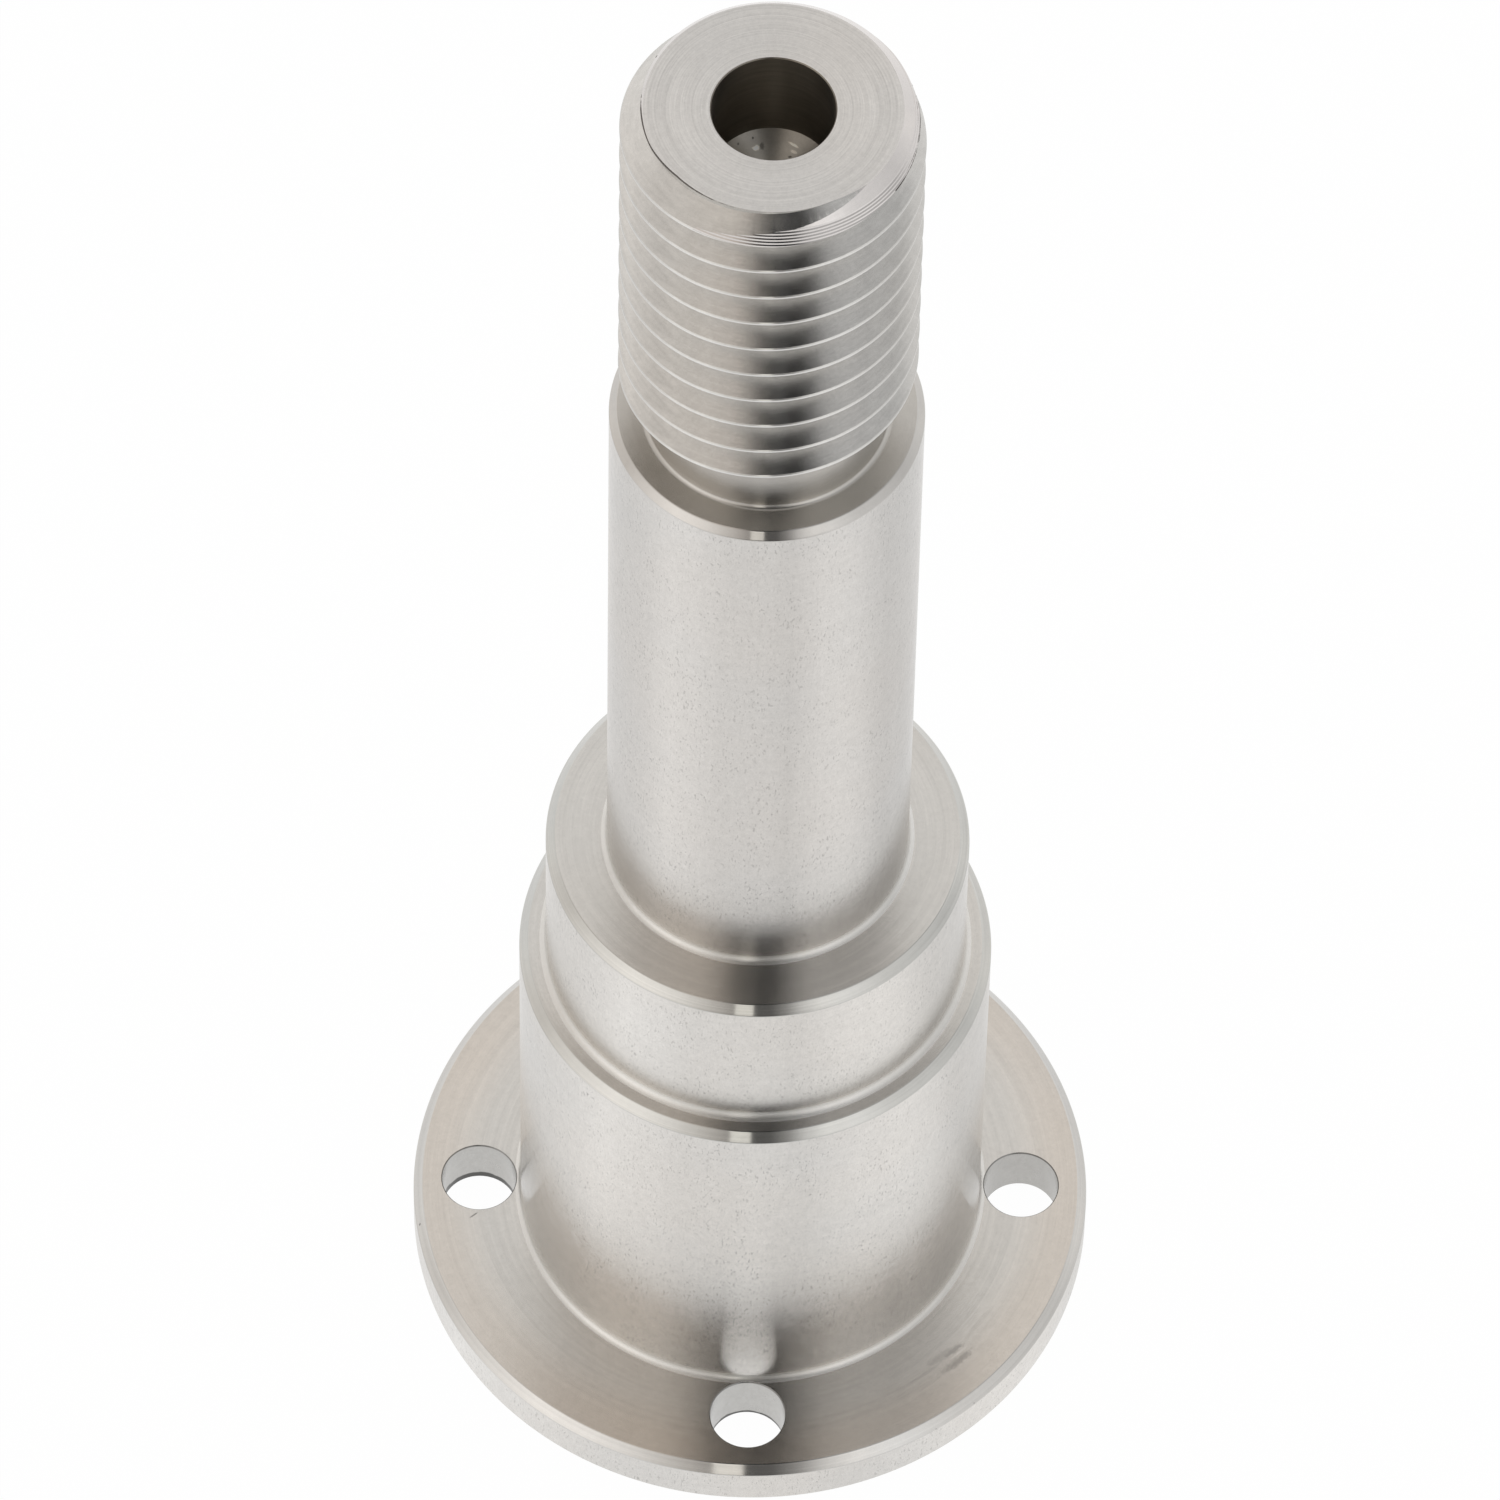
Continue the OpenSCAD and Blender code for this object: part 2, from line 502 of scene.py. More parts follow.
def broken_chamfer(low: Point, high: Point, feed: float, depth: float, edge: float = 0.03) -> list[Point]:
    """Points of a 45 degree chamfer from a wall to a face, with tool grooves and with both its edges broken.

    Args:
        low: where it meets the wall.
        high: where it meets the face.
        feed: about the distance from one groove to the next.
        depth: how deep each groove is.
        edge: how far each edge is broken.

    Returns:
        Radius and height of each point.
    """
    slant = edge * math.sqrt(0.5)
    first, last = (low[0] - slant, low[1] + slant), (high[0] + slant, high[1] - slant)
    grooves = scalloped(first, last, feed, depth, 2)
    return [(low[0], low[1] - edge), first, *grooves, last, (high[0] - edge, high[1])]


def lathe(section: Sequence[Point], sides: int = SIDES) -> bpy.types.Mesh:
    """Turns a half section into a closed solid.

    Args:
        section: radius and height of each point, from the axis at the foot to the axis at the top.
        sides: how many sides it has.

    Returns:
        The mesh, in millimetres.
    """
    rings, verts, faces = [], [], []
    for radius, height in section:
        start = len(verts)
        if radius == 0.0:
            verts.append((0.0, 0.0, height))
            rings.append([start] * sides)
            continue
        for i in range(sides):
            angle = math.tau * i / sides
            verts.append((radius * math.cos(angle), radius * math.sin(angle), height))
        rings.append([start + i for i in range(sides)])
    for low, high in zip(rings, rings[1:]):
        for i in range(sides):
            j = (i + 1) % sides
            corner = list(dict.fromkeys((low[i], low[j], high[j], high[i])))
            if len(corner) > 2:
                faces.append(corner)
    mesh = bpy.data.meshes.new("lathe")
    mesh.from_pydata(verts, [], faces)
    mesh.update()
    return mesh


def shown(name: str, mesh: bpy.types.Mesh) -> bpy.types.Object:
    """Puts a mesh into the scene as an object.

    Args:
        name: the object's name.
        mesh: its mesh.

    Returns:
        The object.
    """
    made = bpy.data.objects.new(name, mesh)
    bpy.context.scene.collection.objects.link(made)
    return made


def settled(thing: bpy.types.Object) -> bpy.types.Mesh:
    """Turns an object with its modifiers into a plain mesh, and removes the object.

    Args:
        thing: the object.

    Returns:
        Its finished mesh.
    """
    graph = bpy.context.evaluated_depsgraph_get()
    mesh = bpy.data.meshes.new_from_object(thing.evaluated_get(graph), depsgraph=graph)
    thing.modifiers.clear()
    bpy.data.objects.remove(thing)
    return mesh


def grown(mesh: bpy.types.Mesh, tree: bpy.types.NodeTree, values: dict[str, Any]) -> bpy.types.Mesh:
    """Runs Geometry Nodes on a mesh.

    Args:
        mesh: the mesh that they start from.
        tree: the node tree.
        values: each input's value, by its name.

    Returns:
        The finished mesh.
    """
    thing = shown(tree.name, mesh)
    modifier = thing.modifiers.new(tree.name, "NODES")
    modifier.node_group = tree
    for item in tree.interface.items_tree:
        if item.in_out == "INPUT" and item.name in values:
            modifier[item.identifier] = values[item.name]
    return settled(thing)


def finished(name: str, mesh: bpy.types.Mesh) -> bpy.types.Object:
    """Scales a mesh from millimetres to metres and shows it as a piece.

    Args:
        name: the piece's name.
        mesh: its mesh.

    Returns:
        The piece.
    """
    mesh.name = name
    mesh.transform(Matrix.Scale(MM, 4))
    return shown(name, mesh)


def joined(first: bpy.types.Mesh, second: bpy.types.Mesh, how: str) -> bpy.types.Mesh:
    """Adds one solid to another, or cuts it from it.

    Args:
        first: the solid that is kept.
        second: the solid that is added or cut away.
        how: UNION or DIFFERENCE.

    Returns:
        The new solid.
    """
    kept, tool = shown("kept", first), shown("tool", second)
    modifier = kept.modifiers.new("join", "BOOLEAN")
    modifier.object, modifier.operation, modifier.solver = tool, how, "MANIFOLD"
    made = settled(kept)
    bpy.data.objects.remove(tool)
    return made


@dataclass
class Flange:
    """The round flange that the shaft is screwed down by."""

    radius: float = 19.5
    thickness: float = 3.4
    chamfer: float = 0.5
    hole_radius: float = 2.15
    hole_circle: float = 15.7
    hole_count: int = 4
    hole_break: float = 0.05
    feed: float = 0.12
    groove: float = 0.006
    hole_sides: int = 96

    def section(self) -> list[Point]:
        """Points of its half section, from the axis up to its top face."""
        edge, top = self.radius - self.chamfer, self.thickness
        low, high = (self.radius, top - self.chamfer), (edge, top)
        upper = broken_chamfer(low, high, self.feed, self.groove)
        return [(0.0, 0.0), (edge, 0.0), (self.radius, self.chamfer), *upper]

    def hole_tool(self) -> bpy.types.Mesh:
        """The shape that drills one screw hole and breaks its edges."""
        radius, rounded, top = self.hole_radius, self.hole_break, self.thickness
        wide, below, above = radius + rounded, -OVERLAP, top + OVERLAP
        wall = [(wide, 0.0), (radius, rounded), (radius, top - rounded), (wide, top)]
        return lathe([(0.0, below), (wide, below), *wall, (wide, above), (0.0, above)], self.hole_sides)

    def tree(self, tool: bpy.types.Object) -> bpy.types.NodeTree:
        """Makes the Geometry Nodes that cut the screw holes.

        Args:
            tool: the object with the shape of one hole.

        Returns:
            The node tree.
        """
        tree = bpy.data.node_groups.new("screw_holes", "GeometryNodeTree")
        n = Nodes(tree)
        kinds = {"Geometry": "Geometry", "Hole circle": "Float", "Count": "Int", "Finish": "Material"}
        given = n.inputs(kinds)
        ring = {"Vertices": given["Count"], "Radius": given["Hole circle"]}
        circle = n.add("GeometryNodeMeshCircle", ring)
        shape = n.add("GeometryNodeObjectInfo", {"Object": tool})
        spread = {"Points": circle.outputs[0], "Instance": shape.outputs["Geometry"]}
        copies = n.add("GeometryNodeInstanceOnPoints", spread)
        real = n.add("GeometryNodeRealizeInstances", {"Geometry": copies.outputs[0]})
        cut = n.add("GeometryNodeMeshBoolean", operation="DIFFERENCE", solver="MANIFOLD")
        n.feed(cut.inputs["Mesh 1"], given["Geometry"])
        n.feed(cut.inputs["Mesh 2"], real.outputs[0])
        n.dressed(cut.outputs["Mesh"], given["Finish"])
        return tree

    def drilled(self, body: bpy.types.Mesh, finish: bpy.types.Material) -> bpy.types.Mesh:
        """Drills the screw holes.

        Args:
            body: the turned solid.
            finish: the finish that it gets.

        Returns:
            The solid with its holes.
        """
        tool = shown("hole_tool", self.hole_tool())
        values = {"Hole circle": self.hole_circle, "Count": self.hole_count, "Finish": finish}
        made = grown(body, self.tree(tool), values)
        bpy.data.objects.remove(tool)
        return made

    def in_hole(self, place: Vector) -> bool:
        """Says whether a point lies on the wall of a screw hole."""
        if not -NEAR < place.z < self.thickness + NEAR:
            return False
        turns = (math.tau * i / self.hole_count for i in range(self.hole_count))
        centres = ((self.hole_circle * math.cos(t), self.hole_circle * math.sin(t)) for t in turns)
        return any(math.dist(place.xy, c) < self.hole_radius + self.hole_break for c in centres)


@dataclass
class Boss:
    """A plain turned step with a chamfer on its top edge and a fillet at its foot."""

    radius: float
    height: float
    foot: float = 0.0
    chamfer: float = 0.5
    fillet: float = 0.4
    feed: float = 0.12
    groove: float = 0.006

    @property
    def top(self) -> float:
        """Height of its top face."""
        return self.foot + self.height

    def section(self) -> list[Point]:
        """Points of its half section, from its fillet up to its top face."""
        low, high = (self.radius, self.top - self.chamfer), (self.radius - self.chamfer, self.top)
        foot = fillet(self.radius, self.foot, self.fillet)
        return [*foot, *broken_chamfer(low, high, self.feed, self.groove)]


@dataclass
class ThreadedEnd:
    """The right-hand thread with its chamfered tip, above the relief groove."""

    radius: float = 7.93
    length: float = 22.8
    foot: float = 0.0
    pitch: float = 2.309
    depth: float = 1.4
    crest: float = 0.2
    crest_break: float = 0.045
    first_crest: float = 2.82
    chamfer: float = 1.2
    ribbed: float = 0.64
    rib: float = 0.17
    rib_depth: float = 0.028
    fine_rib: float = 0.085
    fine_depth: float = 0.0023
    neck_radius: float = 6.45
    neck_width: float = 4.0
    neck_fillet: float = 0.3
    spare: float = 1.6
    blank_allowance: float = 0.4
    flank_angle: float = 30.0
    weld: float = 2e-4

    @property
    def top(self) -> float:
        """Height of the end face."""
        return self.foot + self.length

    def envelope(self) -> list[Point]:
        """Half section of the blank that the thread is cut from."""
        high = (self.radius - self.chamfer, self.top)
        more = self.blank_allowance
        low = (self.radius + more, self.top - self.chamfer - more)
        middle = tuple(a + (b - a) * self.ribbed for a, b in zip(low, high))
        ribs = scalloped(low, middle, self.rib, self.rib_depth, 2)
        fine = scalloped(middle, high, self.fine_rib, self.fine_depth)
        return [(0.0, self.foot), (low[0], self.foot), low, *ribs, middle, *fine, high, (0.0, self.top)]

    def tree(self) -> bpy.types.NodeTree:
        """Makes the Geometry Nodes that wind the thread and cut it to the blank.

        Returns:
            The node tree.
        """
        tree = bpy.data.node_groups.new("thread", "GeometryNodeTree")
        n = Nodes(tree)
        sizes = ("Radius", "Pitch", "Depth", "Crest", "Crest break", "First crest", "Top", "Bottom")
        rest = {"Sides": "Int", "Finish": "Material"}
        given = n.inputs({"Geometry": "Geometry", **dict.fromkeys(sizes, "Float"), **rest})
        length = n.minus(given["Top"], given["Bottom"])
        turns = n.math("CEIL", n.over(length, given["Pitch"]))
        rows = n.times(n.plus(turns, 3.0), FORM_CORNERS)
        columns = n.plus(given["Sides"], 1.0)
        sheet = n.add("GeometryNodeMeshGrid", {"Vertices X": columns, "Vertices Y": rows})
        index = n.add("GeometryNodeInputIndex").outputs[0]
        column = n.math("FLOOR", n.over(n.plus(index, 0.5), rows))
        row = n.minus(index, n.times(column, rows))
        turn = n.math("FLOOR", n.over(n.plus(row, 0.5), FORM_CORNERS))
        corner = n.minus(row, n.times(turn, FORM_CORNERS))
        share = n.over(column, given["Sides"])
        out, level = self.form(n, given, corner)
        rise = n.times(given["Pitch"], n.plus(n.minus(share, turn), 2.0))
        start = n.minus(given["Top"], given["First crest"])
        height = n.plus(n.plus(start, rise), level)
        ceiling, floor = n.plus(given["Top"], self.spare), given["Bottom"]
        above = n.math("GREATER_THAN", height, ceiling)
        below = n.math("LESS_THAN", height, floor)
        inside = n.minus(n.minus(1.0, above), below)
        reach = n.times(out, inside)
        height = n.math("MINIMUM", n.math("MAXIMUM", height, floor), ceiling)
        where = n.polar(reach, n.times(share, math.tau), height)
        placed = n.add("GeometryNodeSetPosition", {"Geometry": sheet.outputs["Mesh"], "Position": where})
        near = {"Geometry": placed.outputs[0], "Distance": self.weld}
        welded = n.add("GeometryNodeMergeByDistance", near)
        cut = n.add("GeometryNodeMeshBoolean", operation="INTERSECT", solver="MANIFOLD")
        n.feed(cut.inputs["Mesh 2"], welded.outputs[0])
        n.feed(cut.inputs["Mesh 2"], given["Geometry"])
        n.dressed(cut.outputs["Mesh"], given["Finish"])
        return tree

    def form(self, n: Nodes, given: Any, corner: Socket) -> tuple[Socket, Socket]:
        """Gives the six corners of the thread form, from the top down.

        Args:
            n: the tree's nodes.
            given: the tree's inputs.
            corner: which corner is asked for, from 0 to 5.

        Returns:
            Its radius, and its height from the middle of the crest.
        """
        slope = math.tan(math.radians(self.flank_angle))
        half = n.times(given["Crest"], 0.5)
        cut = given["Crest break"]
        flat = n.minus(half, cut)
        rim = n.math("MULTIPLY_ADD", cut, slope, half)
        flank = n.math("MULTIPLY_ADD", given["Depth"], slope, half)
        shoulder = n.minus(given["Radius"], cut)
        root = n.minus(given["Radius"], given["Depth"])
        radii = (shoulder, given["Radius"], given["Radius"], shoulder, root, root)
        drop = n.minus(flank, given["Pitch"])
        lower = [n.times(level, -1.0) for level in (flat, rim, flank)]
        levels = (rim, flat, *lower, drop)
        found = []
        for values in (radii, levels):
            choice = n.add("GeometryNodeIndexSwitch", data_type="FLOAT")
            while len(choice.index_switch_items) < len(values):
                choice.index_switch_items.new()
            n.feed(choice.inputs["Index"], corner)
            for number, value in enumerate(values):
                n.feed(choice.inputs[number + 1], value)
            found.append(choice.outputs[0])
        return found[0], found[1]

    def cut(self, finish: bpy.types.Material) -> bpy.types.Mesh:
        """Cuts the thread.

        Args:
            finish: the finish of its flanks.

        Returns:
            The threaded solid.
        """
        form = {"Radius": self.radius, "Pitch": self.pitch, "Depth": self.depth, "Crest": self.crest}
        start = {"Crest break": self.crest_break, "First crest": self.first_crest}
        ends = {"Top": self.top, "Bottom": self.foot - self.spare}
        values = {**form, **start, **ends, "Sides": SIDES, "Finish": finish}
        return grown(lathe(self.envelope()), self.tree(), values)


@dataclass
class TipBurrAndShadow:
    """The thin burr that the chamfer tool pushed over the edge of the first turn, with a dark colour that
    paints the shadow under it.
    """

    thread: ThreadedEnd
    first: float = 325.0
    last: float = 618.0
    thickness: float = 0.05
    gap: float = 0.42
    points: int = 640
    sides: int = 6
    grain: float = 1.1
    grain_roughness: float = 0.7
    # Shares of the thickness: how far it is sunk below the end face, and how thick it is beside a gap, where
    # it is whole and on the right
    sunk: float = 1.4
    thin: float = 0.3
    stout: float = 1.2
    right_share: float = 0.3
    whole_at: float = 0.65
    # Each step goes from one place on the shaft to another, and from its first value to its second
    left: Step = (-6.0, -2.2, 1.0, 0.0)
    lost_behind: Step = (-1.0, 4.0, 0.0, 0.25)
    whole_in_front: Step = (-3.0, 1.0, 0.34, 0.06)
    fuller_in_front: Step = (-4.5, 0.5, 0.9, 0.3)

    def tree(self) -> bpy.types.NodeTree:
        """Makes the Geometry Nodes that lay the burr along the edge, with gaps where it broke off.

        Returns:
            The node tree.
        """
        tree = bpy.data.node_groups.new("tip_burr", "GeometryNodeTree")
        n = Nodes(tree)
        sizes = ("First", "Last", "Radius", "Root", "Pitch", "Top", "Chamfer", "Edge", "Thickness", "Gap")
        given = n.inputs({**dict.fromkeys(sizes, "Float"), "Finish": "Material"})
        line = n.add("GeometryNodeMeshLine", {"Count": self.points})
        share = n.over(n.add("GeometryNodeInputIndex").outputs[0], self.points - 1.0)
        sweep = n.minus(given["Last"], given["First"])
        angle = n.math("MULTIPLY_ADD", sweep, share, given["First"])
        lead = 1 / math.tan(math.radians(self.thread.flank_angle))
        under = n.math("MULTIPLY_ADD", n.over(angle, 360.0), given["Pitch"], given["Edge"])
        cone = n.minus(given["Top"], given["Chamfer"])
        height = n.over(n.math("MULTIPLY_ADD", under, lead, cone), 1 + lead)
        lid = n.math("MULTIPLY_ADD", given["Thickness"], -self.sunk, given["Top"])
        height = n.math("MINIMUM", height, given["Top"])
        out = n.minus(given["Radius"], n.times(n.minus(under, height), lead))
        out = n.math("MAXIMUM", out, given["Root"])
        height = n.math("MINIMUM", height, lid)
        where = n.polar(out, n.math("RADIANS", angle), height)
        placed = n.add("GeometryNodeSetPosition", {"Geometry": line.outputs[0], "Position": where})
        spot = n.add("GeometryNodeInputPosition").outputs[0]
        side, depth, _ = n.split(spot)
        ragged = n.noise(spot, self.grain, 4.0, self.grain_roughness)
        left = n.ramp(side, *self.left)
        lasting = n.minus(ragged, n.ramp(depth, *self.lost_behind))
        kept = n.math("MULTIPLY_ADD", left, n.ramp(depth, *self.whole_in_front), lasting)
        gone = n.math("LESS_THAN", kept, given["Gap"])
        broken_off = {"Geometry": placed.outputs[0], "Selection": gone}
        remains = n.add("GeometryNodeDeleteGeometry", broken_off, domain="POINT")
        path = n.add("GeometryNodeMeshToCurve", {"Mesh": remains.outputs[0]})
        share = n.ramp(kept, given["Gap"], self.whole_at, self.thin, self.stout)
        thick = n.times(given["Thickness"], share)
        fuller = n.ramp(depth, *self.fuller_in_front)
        thick = n.times(thick, n.math("MULTIPLY_ADD", left, fuller, self.right_share))
        ring = n.add("GeometryNodeCurvePrimitiveCircle", {"Resolution": self.sides, "Radius": 1.0})
        curves = {"Curve": path.outputs[0], "Profile Curve": ring.outputs[0]}
        tube = n.add("GeometryNodeCurveToMesh", {**curves, "Scale": thick, "Fill Caps": True})
        n.dressed(tube.outputs[0], given["Finish"])
        return tree

    def build(self, finish: bpy.types.Material) -> bpy.types.Object:
        """Makes the burr and its painted shadow.

        Args:
            finish: its dark finish, the painted shadow under the burr.

        Returns:
            The finished piece.
        """
        thread = self.thread
        root = thread.radius - thread.depth
        edge = thread.top - thread.first_crest - thread.crest / 2
        form = {"Radius": thread.radius, "Root": root, "Pitch": thread.pitch}
        tip = {"Top": thread.top, "Chamfer": thread.chamfer, "Edge": edge}
        own = {"First": self.first, "Last": self.last, "Thickness": self.thickness, "Gap": self.gap}
        values = {**form, **tip, **own, "Finish": finish}
        return finished("tip_burr", grown(bpy.data.meshes.new("burr"), self.tree(), values))


@dataclass
class BlindHole:
    """The blind hole in the end face, with the point that the drill left."""

    radius: float = 3.225
    depth: float = 6.1
    top: float = 0.0
    point_angle: float = 118.0
    edge_break: float = 0.06
    cone_steps: int = 12

    @property
    def floor(self) -> float:
        """Height at which its straight wall ends."""
        return self.top - self.depth

    @property
    def tip(self) -> float:
        """Height of the lowest point of its cone."""
        return self.floor - self.radius / math.tan(math.radians(self.point_angle / 2))

    def tool(self) -> bpy.types.Mesh:
        """The shape that drills it."""
        tip = self.tip
        wide, above = self.radius + self.edge_break, self.top + OVERLAP
        shares = [i / self.cone_steps for i in range(self.cone_steps + 1)]
        cone = [(self.radius * t, tip + (self.floor - tip) * t) for t in shares]
        mouth = [(self.radius, self.top - self.edge_break), (wide, self.top)]
        return lathe([*cone, *mouth, (wide, above), (0.0, above)])


@dataclass
class PivotShaft:
    """The whole shaft, put together from its turned parts."""

    flange: Flange = field(default_factory=Flange)
    lower: Boss = field(default_factory=lambda: Boss(13.3, 26.1))
    middle: Boss = field(default_factory=lambda: Boss(11.8, 10.9, fillet=0.45))
    journal: Boss = field(default_factory=lambda: Boss(8.4, 41.5, chamfer=0.4))
    thread: ThreadedEnd = field(default_factory=ThreadedEnd)
    bore: BlindHole = field(default_factory=BlindHole)
    near_slant: float = 0.03
    chamfer_reach: float = 0.6
    finishes: dict[Zone, TurnedFinish] = field(default_factory=dict)

    def __post_init__(self) -> None:
        """Stands each step on the one below it."""
        self.lower.foot = self.flange.thickness
        self.middle.foot = self.lower.top
        self.journal.foot = self.middle.top
        self.thread.foot = self.journal.top + self.thread.neck_width
        self.bore.top = self.thread.top

    def build(self) -> bpy.types.Object:
        """Turns, threads and drills the shaft and dresses it.

        Returns:
            The finished piece.
        """
        materials = {zone: self.finishes[zone].material() for zone in Zone}
        neck = fillet(self.thread.neck_radius, self.journal.top, self.thread.neck_fillet)
        tall = self.thread.foot + OVERLAP
        parts = (self.flange, self.lower, self.middle, self.journal)
        steps = [point for part in parts for point in part.section()]
        body = lathe([*steps, *neck, (self.thread.neck_radius, tall), (0.0, tall)])
        body = self.flange.drilled(body, materials[Zone.WALL])
        LOG.info("turned body: %d faces", len(body.polygons))
        thread = self.thread.cut(materials[Zone.THREAD])
        LOG.info("thread: %d faces", len(thread.polygons))
        whole = joined(body, thread, "UNION")
        whole = joined(whole, self.bore.tool(), "DIFFERENCE")
        self.dress(whole, materials)
        piece = finished("turned_shaft", whole)
        # Found in metres: in millimetres the slivers of the cuts show as lines on the end face
        whole.set_sharp_from_angle(angle=SMOOTH_ANGLE)
        triangles = sum(len(face.vertices) - 2 for face in whole.polygons)
        LOG.info("shaft: %d faces, %d triangles", len(whole.polygons), triangles)
        return piece

    def dress(self, mesh: bpy.types.Mesh, materials: dict[Zone, bpy.types.Material]) -> None:
        """Gives each face the finish of its zone.

        Args:
            mesh: the shaft, in millimetres.
            materials: each zone's finish.
        """
        mesh.materials.clear()
        for zone in Zone:
            mesh.materials.append(materials[zone])
        for face in mesh.polygons:
            face.material_index = self.zone_of(face.center, face.normal).value
            face.use_smooth = True

    def zone_of(self, place: Vector, facing: Vector) -> Zone:
        """Finds the zone that a face lies in.

        Args:
            place: the middle of the face, in millimetres.
            facing: the way it faces.

        Returns:
            The zone.
        """
        out = place.xy.length
        thread, bore = self.thread, self.bore
        in_bore = place.z > bore.tip and out < bore.radius + bore.edge_break
        if in_bore and facing.z < FLAT:
            return Zone.BORE if place.z > bore.floor + NEAR else Zone.DRILL_POINT
        if place.z > thread.top - NEAR:
            return Zone.END_FACE
        if place.z > thread.foot + NEAR and out > thread.neck_radius + self.near_slant:
            slant = thread.radius - thread.chamfer + thread.top - place.z
            if place.z > thread.top - thread.chamfer and abs(out - slant) < self.near_slant:
                return Zone.TIP_CHAMFER
            return Zone.CREST if out > thread.radius - 2 * NEAR else Zone.THREAD
        if self.flange.in_hole(place) and abs(facing.z) < NO_WALL:
            return Zone.SCREW_HOLE
        if facing.z < -NO_WALL:
            return Zone.UNDERSIDE
        if place.z > self.journal.top - NEAR:
            return Zone.NECK
        if facing.z > NEARLY_FLAT:
            return Zone.RING if place.z > self.lower.foot + NEAR else Zone.FLANGE_FACE
        steps = (self.lower, self.middle, self.journal)
        if facing.z > ROUNDED and any(0 < place.z - step.foot < step.fillet for step in steps):
            return Zone.FILLET
        slants = {
            self.flange.thickness: Zone.FLANGE_CHAMFER,
            self.lower.top: Zone.BOSS_CHAMFER,
            self.middle.top: Zone.BOSS_CHAMFER,
            self.journal.top: Zone.JOURNAL_CHAMFER,
        }
        near = (zone for top, zone in slants.items() if 0 < top - place.z < self.chamfer_reach)
        plain = Zone.JOURNAL if place.z > self.journal.foot else Zone.WALL
        return next(near, plain) if facing.z > CHAMFERED else plain


